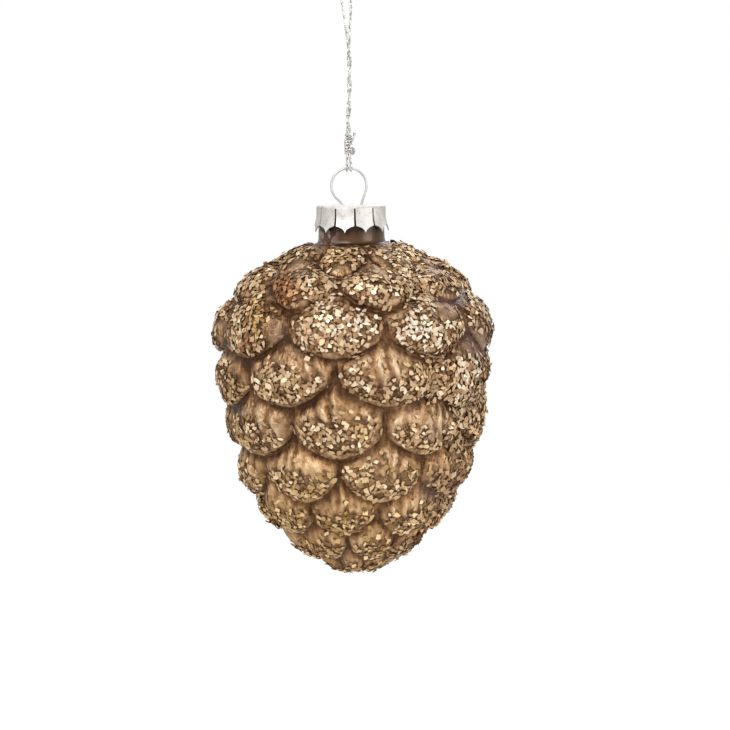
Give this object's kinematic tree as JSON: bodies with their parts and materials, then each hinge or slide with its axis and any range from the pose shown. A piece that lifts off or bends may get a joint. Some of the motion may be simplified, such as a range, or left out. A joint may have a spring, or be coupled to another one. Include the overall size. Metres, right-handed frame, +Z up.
{
  "type": "pine cone ornament",
  "caption": "Hanging blown glass pine cone ornament with rounded overlapping scales, a stamped crown cap on its neck, a sprung wire ring and a knotted thread loop.",
  "frame": {"origin": "inner top of the wire ring, where the thread or a hook bears", "axes": "+Z up along the ornament's axis towards the thread, -Y towards the front that the picture shows, +X to the right in that view"},
  "size_m": [0.0766, 0.0764, 0.1648],
  "materials": {
    "painted_glass": "satin bronze paint on glass, with mica flakes stuck on",
    "cap_sheet": "bright",
    "spring_wire": "bright drawn",
    "thread": "metallic twisted thread"
  },
  "bodies": {
    "root": {"cone_shell": "painted_glass", "crown_cap": "cap_sheet", "wire_hanger": "spring_wire", "hanging_thread": "thread", "thread_knot": "thread"}
  },
  "joints": []
}
